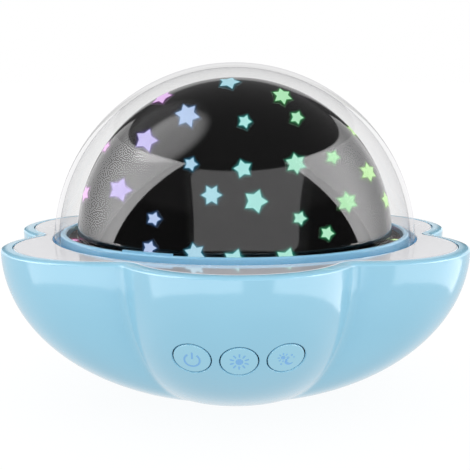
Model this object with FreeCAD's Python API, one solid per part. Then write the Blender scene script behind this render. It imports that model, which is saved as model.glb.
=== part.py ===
"""Star night light projector: a six-petal bowl that carries a turning star dome under a clear dome.

Millimetres, +Z up, origin at the centre of the resting plane. The front, with its buttons, faces -Y.
Depths are measured down from the top face of the white cover plate.
"""
import FreeCAD, Part
import math
import os

Vec = FreeCAD.Vector
UP = Vec(0, 0, 1)

# Bowl
overall_width = 145.0
petal_count = 6
seam_inset = 6.72
petal_fade = 1.5
seam_radius = 3.0
bowl_drop = 54.0
base_cut = 4.0
outline_shares = (0.95, 0.88, 0.78, 0.64, 0.46, 0.26)
foot_stand = 0.8
wall = 2.2
floor_thickness = 2.4
rim_width = 3.2
rim_drop = 0.9
rim_flat = 0.3
rim_steps = 5
ledge_inset = 5.0
ledge_thickness = 2.0
ledge_undercut = 1.0
lip_gap = 0.38
front_azimuth = -90.0

# Cover plate and dome ring
plate_thickness = 2.0
plate_gap = 0.25
plate_cover = 0.2
edge_round = 0.5
dome_margin = 17.6
ring_wall = 1.8
ring_proud = 1.5
ring_edge = 0.4
groove_width = 2.8
groove_wall = 1.2
groove_depth = 3.0
ring_floor = 2.0
marker_height = 0.6
marker_width = 1.0
marker_from = 233.5
marker_to = 250.5
slot_count = 3
slot_azimuth = -10.0
slot_width = 7.0
slot_height = 1.0
ear_count = 4
ear_margin = 4.0
ear_width = 9.0
ear_thickness = 1.6
ear_screw_margin = 7.5
ear_boss_radius = 3.0
ear_boss_low = 30.0
hook_width = 6.0
hook_thickness = 1.4
hook_catch = 0.5
hook_slope = 1.4
hook_play = 0.2

# Domes
clear_foot_gap = 0.6
clear_wall = 1.5
clear_seat = 0.1
flange_width = 3.6
mask_wall = 1.0
dome_gap = 0.2
diffuser_wall = 1.2
star_centre_depth = 0.1
flange_depth = 0.0
flange_thickness = 1.0
flange_gap = 0.6

# Star windows: azimuth from the front, latitude, points, width and turn in degrees of one half of the dome
star_half = (
    (-28, 52, 6, 7.4, 8), (-44, 40, 5, 6.8, -10), (-18, 31.5, 5, 4.3, 12), (-47, 21, 5, 6.6, -14),
    (-9, 21, 6, 5.8, 4), (-29, 12.5, 5, 4.3, 8), (-10, 77, 6, 6.6, 0), (-71, 61.5, 5, 6.3, 10),
    (-78, 35, 5, 4.8, 0), (-76, 17, 6, 6.2, 6), (39, 63.5, 6, 6.2, 12), (34, 50.5, 5, 4.4, -8),
    (4, 49, 5, 4.3, 14), (2, 30, 5, 5.3, -6), (23, 31.5, 6, 6.0, 9), (42, 33, 5, 4.2, 16),
    (63, 26, 6, 6.2, 0), (42, 17, 6, 5.9, 12), (6, 19, 5, 6.4, -10), (21, 13, 5, 4.3, 6),
    (31, 7.5, 5, 4.2, 10), (81, 42, 5, 4.8, -5), (74, 14.5, 5, 4.8, 8), (-30, 3.6, 5, 4.8, -27),
    (-14, 3.6, 6, 5.2, 0), (-1, 3.3, 5, 4.8, -8), (16, 3.3, 5, 4.8, 10),
)
star_inner_share = 0.55
star_view_tilt = 8.5
star_stretch_limit = 1.7

# Star windows in the mask's flange: azimuth from the front, points, width and turn
flange_stars = ((-76, 5, 2.7, 20), (75, 5, 2.7, 0))

# Turntable, its gears and its floor
turntable_gap = 0.3
turntable_wall = 2.6
turntable_flange = 1.6
gear_rim = 5.1
gear_module = 1.5
pinion_teeth = 12
pressure_angle = 20.0
tooth_play = 0.30
ring_addendum_share = 0.62
gear_width = 4.6
dedendum_share = 1.2
hub_radius = 3.2
hub_height = 1.0
drive_azimuth = 30.0
chassis_floor_depth = 12.0
chassis_floor = 2.0
chassis_wall = 2.0
glide_height = 1.0
glide_width = 2.2
rib_length = 5.0
rib_thickness = 1.6
wire_hole_radius = 2.5
wire_hole_y = -16.0

# Motor and lamp
motor_radius = 11.0
motor_height = 12.0
motor_shaft_radius = 1.5
motor_end_radius = 6.0
motor_end_height = 2.0
shaft_hole_radius = 4.5
bracket_wall = 1.4
bracket_play = 0.1
bracket_reach = 17.0
bracket_ear_width = 7.0
bracket_screw_inset = 1.5
bracket_window = 6.5
lamp_column_radius = 8.0
lamp_column_rise = 2.0
lamp_column_taper = 1.5
lamp_column_play = 0.1
lamp_socket_wall = 2.0
lamp_socket_height = 3.0
lamp_table_thickness = 1.2
lamp_wire_bore = 4.8
lamp_board_radius = 13.0
board_thickness = 1.6
lamp_count = 4
lamp_size = 5.0
lamp_height = 1.0
lamp_lens_radius = 1.9
lamp_lens_height = 0.4
lamp_circle = 6.0

# Buttons
button_spacing = 13.0
button_radius = 5.2
button_gap = 0.3
button_edge = 0.35
button_depth = 25.3
button_tilt = 8.0
button_travel = 0.6
button_flange_radius = 5.9
button_flange_seat = 10.3
button_flange_thickness = 1.0
stem_radius = 1.6
stem_length = 0.9
plunger_radius = 1.4
plunger_length = 2.2
plunger_end_room = 0.4
switch_size = 6.0
switch_height = 3.4
button_board_width = 37.0
button_board_height = 13.0
button_board_drop = 2.0
button_post_radius = 2.2
button_post_drop = 6.0

# Main board, battery and charging socket
main_board_width = 48.0
main_board_length = 30.0
main_board_y = -11.0
main_board_z = 8.0
boss_inset = 4.0
boss_radius = 2.4
post_slimming = 0.4
chip_width = 7.0
chip_length = 9.0
chip_height = 1.6
driver_size = 5.0
driver_height = 1.5
capacitor_radius = 3.0
capacitor_height = 7.0
connector_width = 7.5
connector_length = 4.5
connector_height = 5.0
connector_spacing = 9.0
connector_back = 11.0
tray_width = 46.0
tray_length = 26.0
tray_y = 18.2
tray_z = 9.4
tray_floor = 1.4
tray_wall = 1.5
tray_lip = 5.0
tray_notch = 12.0
tray_notch_sill = 1.5
cell_play = 0.2
cell_height = 8.0
cell_round = 1.5
usb_depth = 27.0
usb_width = 8.94
usb_height = 3.26
usb_length = 7.3
usb_shell = 0.35
usb_back = 1.2
usb_tongue_width = 6.6
usb_tongue_length = 5.8
usb_tongue_height = 0.7
usb_slot_gap = 0.4
usb_slot_length = 12.0
usb_board_width = 18.0
usb_board_length = 16.0
usb_mouth_lip = 1.2
usb_post_x = 6.8
usb_post_back = 5.2

# Feet and screws
foot_radius = 3.2
foot_play = 0.1
foot_circle = 21.5
foot_recess = 0.8
screw_radius = 1.1
screw_head_radius = 2.1
screw_head_height = 1.3
screw_bite = 4.0
screw_play = 0.15

# Values that follow from the ones above
base_depth = bowl_drop - base_cut
plate_level = foot_stand + base_depth
base_level = foot_stand
half_width = overall_width / 2
petal_step = 360.0 / petal_count
half_step = math.radians(petal_step / 2)
outline_depths = [base_depth * share for share in outline_shares]
recess_inset = rim_width + rim_flat
ring_bore = half_width - dome_margin
ring_outer = ring_bore + ring_wall
groove_outer = ring_outer + groove_width
ring_lip = groove_outer + groove_wall
plate_opening = groove_outer - plate_cover
clear_outer = groove_outer - clear_foot_gap
clear_centre_depth = groove_depth - clear_seat
star_outer = ring_bore - flange_width
ring_seat_depth = groove_depth + ring_floor
ear_reach = half_width - ear_margin
ear_screw_circle = half_width - ear_screw_margin
turntable_outer = ring_bore - turntable_gap
turntable_flange_bore = star_outer - mask_wall
ring_teeth = 2 * round((turntable_outer - gear_rim) / gear_module)
pitch_ring = gear_module * ring_teeth / 2
pitch_pinion = gear_module * pinion_teeth / 2
drive_radius = pitch_ring - pitch_pinion
flange_outer = ring_bore - flange_gap
turntable_top_depth = flange_depth + 2 * flange_thickness
turntable_bottom_depth = chassis_floor_depth - glide_height - turntable_gap
petal_azimuths = [front_azimuth + petal_step * index for index in range(petal_count)]
ear_azimuths = [petal_azimuths[index] for index in (1, 2, 4, 5)][:ear_count]

# The petal circles stand so far out that each seam ends seam_inset inside the widest circle
seam_share = seam_inset * math.cos(half_step)
seam_span = seam_inset * (2 * (half_width + seam_radius) - seam_inset) * math.sin(half_step) ** 2
petal_offset = (math.sqrt(seam_share ** 2 + seam_span) - seam_share) / math.sin(half_step) ** 2


def level(depth):
    """Height of a depth below the plate's top face."""
    return plate_level - depth


def polar(radius, azimuth, z=0.0):
    """Point at a radius and an azimuth in degrees."""
    turn = math.radians(azimuth)
    return Vec(radius * math.cos(turn), radius * math.sin(turn), z)


def arc(start, middle, end):
    """Circular edge through three points."""
    return Part.Arc(start, middle, end).toShape()


def disc(radius, z_low, z_high, x=0.0, y=0.0):
    """Upright cylinder between two heights."""
    return Part.makeCylinder(radius, z_high - z_low, Vec(x, y, z_low), UP)


def tube(outer, inner, z_low, z_high, x=0.0, y=0.0):
    """Upright tube between two heights."""
    return disc(outer, z_low, z_high, x, y).cut(disc(inner, z_low - 1, z_high + 1, x, y))


def block(width, length, height, x, y, z_low):
    """Box centred on x and y, standing on z_low."""
    return Part.makeBox(width, length, height, Vec(x - width / 2, y - length / 2, z_low))


def turned(shape, azimuth):
    """Copy of a shape turned about the dome axis."""
    copy = shape.copy()
    copy.rotate(Vec(0, 0, 0), UP, azimuth)
    return copy


def prism(outline, z_low, z_high):
    """Solid between two heights with a closed outline drawn at z_low."""
    return Part.Face(outline).extrude(Vec(0, 0, z_high - z_low))


def revolved(points):
    """Solid of revolution of a closed straight-sided section given as radius and height."""
    corners = [Vec(radius, 0, z) for radius, z in points]
    section = Part.Face(Part.makePolygon(corners + corners[:1]))
    return section.revolve(Vec(0, 0, 0), UP, 360)


def screw(head_seat, direction, length):
    """Pan-head screw whose head sits on a point and whose shank runs along a direction."""
    shank = Part.makeCylinder(screw_radius, length, head_seat, direction)
    head = Part.makeCylinder(screw_head_radius, screw_head_height, head_seat, direction * -1)
    return shank.fuse(head).removeSplitter()


def petal_sizes(depth, inner_wall, inset):
    """Offset and radius of the petal circles of the bowl at a depth."""
    drop = bowl_drop - inner_wall
    share = math.sqrt(1 - (depth / drop) ** 2)
    fade = math.sqrt(1 - (depth / bowl_drop) ** 2) ** petal_fade
    offset = petal_offset * fade
    radius = (half_width - inner_wall) * share - offset * math.cos(half_step) - inset
    return offset, radius


def petal_reach(depth, inner_wall=0.0):
    """Distance from the axis to the middle of a petal's wall."""
    offset, radius = petal_sizes(depth, inner_wall, 0.0)
    return offset + radius


def petal_outline(depth, z, inner_wall=0.0, inset=0.0):
    """Closed outline of petal arcs joined by small hollow arcs in the seams."""
    offset, radius = petal_sizes(depth, inner_wall, inset)
    hollow = seam_radius + inner_wall + inset
    seam_reach = offset * math.cos(half_step)
    seam_reach += math.sqrt((radius + hollow) ** 2 - (offset * math.sin(half_step)) ** 2)
    share = radius / (radius + hollow)
    edges = []
    for azimuth in petal_azimuths:
        centre = polar(offset, azimuth, z)
        following = polar(offset, azimuth + petal_step, z)
        seam_before = polar(seam_reach, azimuth - petal_step / 2, z)
        seam_after = polar(seam_reach, azimuth + petal_step / 2, z)
        start = centre + (seam_before - centre) * share
        end = centre + (seam_after - centre) * share
        next_start = following + (seam_after - following) * share
        edges.append(arc(start, polar(offset + radius, azimuth, z), end))
        edges.append(arc(end, polar(seam_reach - hollow, azimuth + petal_step / 2, z), next_start))
    return Part.Wire(edges)


def bowl_loft(depths, inner_wall=0.0):
    """Smooth petalled solid through the bowl's outlines."""
    outlines = [petal_outline(depth, level(depth), inner_wall) for depth in depths]
    return Part.makeLoft(outlines, True, False)


def bowl_form():
    """Outside of the bowl as a full solid, with its rounded rim."""
    rim = []
    for index in range(rim_steps + 1):
        turn = math.pi / 2 * index / rim_steps
        inset = rim_width * (1 - math.cos(turn))
        z = level(rim_drop) + rim_drop * math.sin(turn)
        rim.append(petal_outline(rim_drop, z, 0.0, inset))
    walls = bowl_loft([base_depth] + outline_depths + [rim_drop])
    return walls.fuse(Part.makeLoft(rim, True, False))


def bowl_cavity():
    """Inside of the bowl: the hollow, the ledge opening and the recess of the cover plate."""
    shoulder = outline_depths[-1]
    ledge_low = plate_thickness + ledge_thickness
    hollow = bowl_loft([base_depth - floor_thickness] + outline_depths[1:], wall)
    lower = petal_outline(shoulder, level(shoulder), wall)
    upper = petal_outline(rim_drop, level(ledge_low), 0.0, ledge_inset - ledge_undercut)
    neck = Part.makeLoft([lower, upper], True, True)
    ledge_outline = petal_outline(rim_drop, level(ledge_low), 0.0, ledge_inset)
    opening = prism(ledge_outline, level(ledge_low), level(plate_thickness))
    ring_room = disc(ring_lip + lip_gap, level(ledge_low + 1), level(plate_thickness))
    recess_outline = petal_outline(rim_drop, level(plate_thickness), 0.0, recess_inset)
    recess = prism(recess_outline, level(plate_thickness), level(-1))
    return hollow.fuse([neck, opening, ring_room, recess])


def button_placement(x):
    """Frame of one button: its origin lies on the front petal's wall and +Z points inwards."""
    origin = Vec(x, -petal_reach(button_depth), level(button_depth))
    return FreeCAD.Placement(origin, FreeCAD.Rotation(Vec(1, 0, 0), button_tilt - 90))


def button_cylinder(radius, low, high, x=0.0, drop=0.0, column=0.0):
    """Cylinder along the button axis, between two distances inwards from the wall."""
    local = Part.makeCylinder(radius, high - low, Vec(x, drop, low), UP)
    local.Placement = button_placement(column).multiply(local.Placement)
    return local


button_columns = {
    "power": -button_spacing,
    "brightness": 0.0,
    "mode": button_spacing,
}
plunger_seat = button_flange_seat + button_flange_thickness + stem_length
switch_seat = plunger_seat + plunger_length - button_travel - plunger_end_room
board_seat = switch_seat + switch_height


def board_screw_places():
    """Centres of the four screws of the main board."""
    reach_x = main_board_width / 2 - boss_inset
    reach_y = main_board_length / 2 - boss_inset
    return [(x * reach_x, main_board_y + y * reach_y) for x in (-1, 1) for y in (-1, 1)]


def wall_bosses(form):
    """Screw bosses grown from the bowl, trimmed by its outside."""
    bosses = []
    chassis_ear_low = level(ring_seat_depth) - chassis_floor
    for azimuth in ear_azimuths:
        centre = polar(ear_screw_circle, azimuth)
        bosses.append(disc(ear_boss_radius, level(ear_boss_low), chassis_ear_low, centre.x, centre.y))
    for x, y in board_screw_places():
        bosses.append(disc(boss_radius, base_level, main_board_z, x, y))
    for x in (-1, 1):
        for y in (-1, 1):
            tray_x = x * (tray_width / 2 - boss_inset)
            tray_boss_y = tray_y + y * (tray_length / 2 - boss_inset)
            bosses.append(disc(boss_radius, base_level, tray_z, tray_x, tray_boss_y))
        post_radius = boss_radius - post_slimming
        post_y = usb_board_y - usb_post_back
        bosses.append(disc(post_radius, base_level, usb_board_z, x * usb_post_x, post_y))
        post_x = x * button_spacing / 2
        bosses.append(button_cylinder(button_post_radius, -4, board_seat, post_x, button_post_drop))
    return [boss.common(form) for boss in bosses]


usb_z = level(usb_depth)
usb_board_z = usb_z + usb_height / 2
usb_mouth_y = petal_reach(usb_depth + usb_height / 2) - 0.3
usb_board_y = usb_mouth_y - usb_mouth_lip - usb_board_length / 2


def rounded_bar(width, height, length, y_low, z):
    """Bar along Y with fully rounded sides, as a USB-C opening has."""
    radius = height / 2 - 0.01
    bar = Part.makeBox(width, length, height, Vec(-width / 2, y_low, z - height / 2))
    long_edges = [edge for edge in bar.Edges if abs(edge.tangentAt(0).y) > 0.9]
    return bar.makeFillet(radius, long_edges)


def mouth_edges(shape, column, radius):
    """Outermost edges of a shape that run around a button's axis at a radius."""
    local = button_placement(column).inverse()
    found = []
    for edge in shape.Edges:
        points = [local.multVec(point) for point in edge.discretize(7)]
        drift = max(abs(math.hypot(point.x, point.y) - radius) for point in points)
        if drift < 0.02 and not isinstance(edge.Curve, Part.Line):
            found.append((sum(point.z for point in points) / len(points), edge))
    outermost = min(mean for mean, edge in found)
    return [edge for mean, edge in found if mean < outermost + 1.0]


def lower_housing(form):
    """Petalled bowl with bosses, button holes, foot recesses and the charging slot."""
    bowl = form.cut(bowl_cavity())
    bowl = bowl.fuse(wall_bosses(form))
    cuts = []
    for column in button_columns.values():
        cuts.append(button_cylinder(button_radius + button_gap, -4, button_flange_seat, 0, 0, column))
    for azimuth in petal_azimuths:
        centre = polar(foot_circle, azimuth)
        cuts.append(disc(foot_radius, base_level - 1, base_level + foot_recess, centre.x, centre.y))
    for azimuth in ear_azimuths:
        centre = polar(ear_screw_circle, azimuth)
        top = level(ring_seat_depth) - chassis_floor
        cuts.append(disc(screw_radius, top - screw_bite - 1, top + 1, centre.x, centre.y))
    for x, y in board_screw_places():
        cuts.append(disc(screw_radius, main_board_z - screw_bite, main_board_z + 1, x, y))
    for side in (-1, 1):
        low = board_seat - screw_bite - 0.5
        post_x = side * button_spacing / 2
        cuts.append(button_cylinder(screw_radius, low, board_seat + 1, post_x, button_post_drop))
    slot_wide = usb_width + 2 * usb_slot_gap
    slot_high = usb_height + 2 * usb_slot_gap
    slot_y = usb_mouth_y - usb_slot_length / 2 - usb_mouth_lip
    cuts.append(rounded_bar(slot_wide, slot_high, usb_slot_length, slot_y, usb_z))
    bowl = bowl.cut(cuts)
    edges = []
    for column in button_columns.values():
        edges += mouth_edges(bowl, column, button_radius + button_gap)
    return bowl.makeFillet(button_edge, edges)


def top_cover():
    """White petalled plate with its round dome opening and its snap hooks."""
    inset = recess_inset + plate_gap
    outline = petal_outline(rim_drop, level(plate_thickness), 0.0, inset)
    plate = prism(outline, level(plate_thickness), plate_level)
    plate = plate.cut(disc(plate_opening, level(10), level(-10)))
    top_edges = [edge for edge in plate.Edges if min(v.Z for v in edge.Vertexes) > plate_level - 0.01]
    plate = plate.makeFillet(edge_round, top_edges)
    offset, radius = petal_sizes(rim_drop, 0.0, ledge_inset + plate_gap)
    reach = offset + radius
    root = level(plate_thickness) + 0.5
    catch = level(plate_thickness + ledge_thickness) - hook_play
    tip = catch - hook_slope
    section = [
        Vec(reach - hook_thickness, 0, root), Vec(reach - hook_thickness, 0, tip),
        Vec(reach - hook_thickness / 2, 0, tip), Vec(reach + hook_catch, 0, catch),
        Vec(reach, 0, catch), Vec(reach, 0, root),
    ]
    hook = Part.Face(Part.makePolygon(section + section[:1])).extrude(Vec(0, hook_width, 0))
    hook.translate(Vec(0, -hook_width / 2, 0))
    return plate.fuse([turned(hook, azimuth) for azimuth in petal_azimuths])


def dome_ring():
    """Blue ring: a proud inner wall, the groove that takes the clear dome, and four screw ears."""
    groove_level = level(groove_depth)
    seat = level(ring_seat_depth)
    lip_top = level(plate_thickness)
    top = level(-ring_proud)
    ring = revolved([
        (ring_bore, seat), (ring_lip, seat), (ring_lip, lip_top), (groove_outer, lip_top),
        (groove_outer, groove_level), (ring_outer, groove_level), (ring_outer, top - ring_edge),
        (ring_outer - ring_edge, top), (ring_bore + ring_edge, top), (ring_bore, top - ring_edge),
    ])
    ears = []
    for azimuth in ear_azimuths:
        length = ear_reach - groove_outer - groove_wall / 2
        ear = block(length, ear_width, ear_thickness, ear_reach - length / 2, 0, seat)
        ear = ear.cut(disc(screw_radius + 0.3, seat - 1, seat + 5, ear_screw_circle, 0))
        ears.append(turned(ear, azimuth))
    ring = ring.fuse(ears)
    middle = (ring_bore + ring_outer) / 2
    span = marker_to - marker_from
    half = marker_width / 2
    marker = tube(middle + half, middle - half, top - half, top + marker_height)
    keep = Part.makeCylinder(ring_outer + 5, 10, Vec(0, 0, top - 5), UP, span)
    marker = marker.common(turned(keep, marker_from))
    slots = []
    for index in range(slot_count):
        centre = groove_outer + groove_wall / 2
        slot = block(groove_wall * 3, slot_width, slot_height, centre, 0, groove_level)
        slots.append(turned(slot, slot_azimuth + index * 360 / slot_count))
    return ring.fuse(marker).cut(slots)


def clear_dome():
    """Clear hood, a little under half a sphere, that stands in the ring's groove."""
    centre = level(clear_centre_depth)
    outer = Part.makeSphere(clear_outer, Vec(0, 0, centre))
    inner = Part.makeSphere(clear_outer - clear_wall, Vec(0, 0, centre))
    above = disc(clear_outer + 5, centre, centre + clear_outer + 5)
    return outer.cut(inner).common(above)


def star_corners(points, width, turn):
    """Corners of a star in a plane."""
    corners = []
    for index in range(2 * points):
        reach = width / 2 if index % 2 == 0 else width / 2 * star_inner_share
        angle = math.radians(90 + turn) + math.pi * index / points
        corners.append(Vec(reach * math.cos(angle), reach * math.sin(angle), 0))
    return corners


def stretched(corners, azimuth, latitude):
    """Star corners drawn out along the dome's slope, so that the star looks even from the front."""
    side = math.radians(azimuth)
    rise = math.radians(latitude)
    tilt = math.radians(star_view_tilt)
    facing = math.cos(rise) * math.cos(side) * math.cos(tilt) + math.sin(rise) * math.sin(tilt)
    across = -math.cos(tilt) * math.sin(side)
    along = math.sin(tilt) * math.cos(rise) - math.cos(tilt) * math.sin(rise) * math.cos(side)
    slope = Vec(across, along, 0)
    if slope.Length < 0.01:
        return corners
    slope.normalize()
    growth = min(star_stretch_limit, 1 / max(facing, 0.1)) - 1
    return [corner + slope * (corner.dot(slope) * growth) for corner in corners]


def star_cutter(azimuth, latitude, points, width, turn, spin_on=0.0):
    """Straight star-shaped cutter that points out of the dome."""
    corners = stretched(star_corners(points, width, turn), azimuth, latitude)
    star = Part.Face(Part.makePolygon(corners + corners[:1])).extrude(Vec(0, 0, 2 + mask_wall))
    outward = FreeCAD.Rotation(Vec(1, 0, 0), 90 - latitude)
    spin = FreeCAD.Rotation(UP, azimuth + spin_on)
    centre = Vec(0, 0, level(star_centre_depth))
    lift = FreeCAD.Placement(Vec(0, 0, star_outer - mask_wall - 1), FreeCAD.Rotation())
    star.Placement = FreeCAD.Placement(centre, spin.multiply(outward)).multiply(lift)
    return star


def dome_shell(outer, thickness, flange_top):
    """Half-sphere shell with a flat flange around its foot."""
    centre = level(star_centre_depth)
    flange_low = flange_top - flange_thickness
    ball = Part.makeSphere(outer, Vec(0, 0, centre)).common(disc(outer + 5, centre, centre + outer + 5))
    body = ball.fuse([disc(outer, flange_low, centre), disc(flange_outer, flange_low, flange_top)])
    hollow = Part.makeSphere(outer - thickness, Vec(0, 0, centre))
    hollow = hollow.common(disc(outer + 5, centre, centre + outer + 5))
    hollow = hollow.fuse(disc(outer - thickness, flange_low - 1, centre))
    return body.cut(hollow).removeSplitter()


def star_mask():
    """Black dome with star-shaped windows."""
    shell = dome_shell(star_outer, mask_wall, level(flange_depth))
    cutters = []
    for spin_on in (0, 180):
        for azimuth, latitude, points, width, turn in star_half:
            cutters.append(star_cutter(azimuth, latitude, points, width, turn, spin_on))
        for azimuth, points, width, turn in flange_stars:
            corners = star_corners(points, width, turn)
            star = Part.Face(Part.makePolygon(corners + corners[:1]))
            star = star.extrude(Vec(0, 0, flange_thickness + 2))
            middle = (star_outer + flange_outer) / 2
            star.translate(Vec(0, -middle, level(flange_depth) - flange_thickness - 1))
            cutters.append(turned(star, azimuth + spin_on))
    return shell.cut(cutters)


def diffuser_dome():
    """Milky dome that backs the mask and spreads the light behind its windows."""
    outer = star_outer - mask_wall - dome_gap
    return dome_shell(outer, diffuser_wall, level(flange_depth + flange_thickness))


def involute(angle):
    """Involute function of an angle."""
    return math.tan(angle) - angle


def tooth_half_angle(radius, pitch, half_at_pitch):
    """Half width, as an angle, of an involute tooth at a radius."""
    pressure = math.radians(pressure_angle)
    base = pitch * math.cos(pressure)
    local = math.acos(min(1.0, base / radius))
    return half_at_pitch + involute(pressure) - involute(local)


def toothed_outline(teeth, z, low, high, half_at_pitch, pitch):
    """Closed outline of a gear whose teeth run between two radii, its first tooth on +X."""
    middle = (low + high) / 2
    base = pitch * math.cos(math.radians(pressure_angle))
    foot = max(low, base)
    step = 2 * math.pi / teeth
    edges = []
    for index in range(teeth):
        centre = index * step
        at = {}
        for name, radius in (("low", foot), ("mid", max(middle, foot)), ("high", high)):
            at[name] = tooth_half_angle(radius, pitch, half_at_pitch)

        def corner(radius, angle):
            return Vec(radius * math.cos(angle), radius * math.sin(angle), z)

        right_foot = corner(low, centre - at["low"])
        right_tip = corner(high, centre - at["high"])
        left_tip = corner(high, centre + at["high"])
        left_foot = corner(low, centre + at["low"])
        next_foot = corner(low, centre + step - at["low"])
        edges.append(arc(right_foot, corner(max(middle, foot), centre - at["mid"]), right_tip))
        edges.append(arc(right_tip, corner(high, centre), left_tip))
        edges.append(arc(left_tip, corner(max(middle, foot), centre + at["mid"]), left_foot))
        edges.append(arc(left_foot, corner(low, centre + step / 2), next_foot))
    return Part.Wire(edges)


def turntable():
    """Ring that carries the star dome, with the internal gear that turns it."""
    low = level(turntable_bottom_depth)
    high = level(turntable_top_depth)
    tip = pitch_ring - ring_addendum_share * gear_module
    root = pitch_ring + dedendum_share * gear_module
    half = math.pi / (2 * ring_teeth) + tooth_play / (2 * pitch_ring)
    spaces = toothed_outline(ring_teeth, low, tip, root, half, pitch_ring)
    band = disc(turntable_outer, low, low + gear_width).cut(prism(spaces, low, low + gear_width))
    band = turned(band, drive_azimuth)
    wall_ring = tube(turntable_outer, turntable_outer - turntable_wall, low + gear_width, high)
    flange = tube(turntable_outer, turntable_flange_bore, high - turntable_flange, high)
    return band.fuse([wall_ring, flange]).removeSplitter()


def drive_pinion():
    """Motor pinion in mesh with the turntable."""
    low = level(turntable_bottom_depth)
    root = pitch_pinion - dedendum_share * gear_module
    tip = pitch_pinion + gear_module
    half = math.pi / (2 * pinion_teeth) - tooth_play / (2 * pitch_pinion)
    outline = toothed_outline(pinion_teeth, low, root, tip, half, pitch_pinion)
    pinion = prism(outline, low, low + gear_width)
    pinion = pinion.fuse(disc(hub_radius, low + gear_width, low + gear_width + hub_height))
    pinion = pinion.cut(disc(motor_shaft_radius, low - 1, low + gear_width + hub_height + 1))
    pinion.translate(Vec(drive_radius, 0, 0))
    return turned(pinion, drive_azimuth)


def motor_centre():
    """Axis of the motor and its pinion."""
    return polar(drive_radius, drive_azimuth)


def bracket_screw_places():
    """Centres of the two screws of the motor bracket."""
    along = polar(bracket_reach - bracket_screw_inset, drive_azimuth + 90)
    return [motor_centre() + along * side for side in (-1, 1)]


def motor_shaft():
    """Output shaft of the gear motor."""
    at = motor_centre()
    top = level(turntable_bottom_depth) + gear_width + hub_height
    return disc(motor_shaft_radius, level(chassis_floor_depth + chassis_floor) + 0.3, top, at.x, at.y)


def chassis():
    """Round pan under the turntable, screwed down with the dome ring."""
    floor_top = level(chassis_floor_depth)
    floor_low = floor_top - chassis_floor
    seat = level(ring_seat_depth)
    outer = ring_bore + chassis_wall
    pan = disc(outer, floor_low, seat).cut(disc(ring_bore, floor_top, seat + 1))
    ears = []
    for azimuth in ear_azimuths:
        length = ear_reach - outer + chassis_wall / 2
        ear = block(length, ear_width, chassis_floor, ear_reach - length / 2, 0, seat - chassis_floor)
        web = Part.makePolygon([
            Vec(outer - 0.5, 0, seat - chassis_floor), Vec(outer - 0.5, 0, floor_low),
            Vec(outer - 0.5 + rib_length, 0, seat - chassis_floor),
            Vec(outer - 0.5, 0, seat - chassis_floor),
        ])
        rib = Part.Face(web).extrude(Vec(0, rib_thickness, 0))
        rib.translate(Vec(0, -rib_thickness / 2, 0))
        ear = ear.cut(disc(screw_radius + 0.3, seat - 5, seat + 1, ear_screw_circle, 0))
        ears.append(turned(ear.fuse(rib), azimuth))
    pan = pan.fuse(ears)
    socket_top = floor_top + lamp_socket_height
    socket_outer = lamp_column_radius + lamp_socket_wall
    pan = pan.fuse(tube(socket_outer, lamp_column_radius, floor_top, socket_top))
    at = motor_centre()
    wire_hole = disc(wire_hole_radius, floor_low - 1, floor_top + 1, 0, wire_hole_y)
    column_bore = disc(lamp_column_radius - lamp_socket_wall, floor_low - 1, floor_top + 1)
    cuts = [disc(shaft_hole_radius, floor_low - 1, floor_top + 1, at.x, at.y), wire_hole, column_bore]
    for place in bracket_screw_places():
        cuts.append(disc(screw_radius, floor_low - 1, floor_top - 0.3, place.x, place.y))
    return pan.cut(cuts)


def glide_ring():
    """Low-friction ring that the turntable slides on."""
    floor_top = level(chassis_floor_depth)
    inner = turntable_outer - glide_width
    return tube(turntable_outer, inner, floor_top, floor_top + glide_height)


def gear_motor():
    """Flat gear motor that hangs under the chassis."""
    at = motor_centre()
    top = level(chassis_floor_depth + chassis_floor)
    low = top - motor_height
    can = disc(motor_radius, low, top, at.x, at.y)
    can = can.fuse(disc(motor_end_radius, low - motor_end_height, low, at.x, at.y))
    shaft_room = disc(motor_shaft_radius + 0.3, top - 3, top + 1, at.x, at.y)
    return can.cut(shaft_room)


def motor_bracket():
    """Strap that holds the motor up against the chassis."""
    at = motor_centre()
    top = level(chassis_floor_depth + chassis_floor)
    low = top - motor_height
    bore = motor_radius + bracket_play
    ring = tube(bore + bracket_wall, bore, low - bracket_wall, top, at.x, at.y)
    floor = tube(bore + bracket_wall / 2, bracket_window, low - bracket_wall, low, at.x, at.y)
    ears = []
    for side in (-1, 1):
        length = bracket_reach - motor_radius
        ear_x = side * (bore + bracket_wall / 3 + length / 2)
        ear = block(length, bracket_ear_width, bracket_wall, ear_x, 0, top - bracket_wall)
        screw_x = side * (bracket_reach - bracket_screw_inset)
        ear = ear.cut(disc(screw_radius + screw_play, top - 5, top + 1, screw_x, 0))
        ear = turned(ear, drive_azimuth + 90)
        ear.translate(at)
        ears.append(ear)
    return ring.fuse([floor] + ears)


def motor_screws():
    """Two screws of the motor bracket."""
    seat = level(chassis_floor_depth + chassis_floor) - bracket_wall
    screws = []
    for place in bracket_screw_places():
        screws.append(screw(Vec(place.x, place.y, seat), UP, bracket_wall + chassis_floor - 0.4))
    return Part.makeCompound(screws)


def lamp_column():
    """Hollow column that lifts the lamp to the middle of the dome."""
    low = level(chassis_floor_depth)
    high = level(-lamp_column_rise)
    shoulder = low + lamp_socket_height
    plug_radius = lamp_column_radius - lamp_column_play
    top_radius = plug_radius - lamp_column_taper
    column = Part.makeCone(plug_radius, top_radius, high - shoulder, Vec(0, 0, shoulder), UP)
    foot = disc(plug_radius, low, shoulder)
    table = disc(lamp_board_radius, high - lamp_table_thickness, high)
    return column.fuse([foot, table]).cut(disc(lamp_wire_bore, low - 1, high + 1))


def lamp_board():
    """Round lamp board on top of the column."""
    low = level(-lamp_column_rise)
    return disc(lamp_board_radius - 0.5, low, low + board_thickness)


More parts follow.
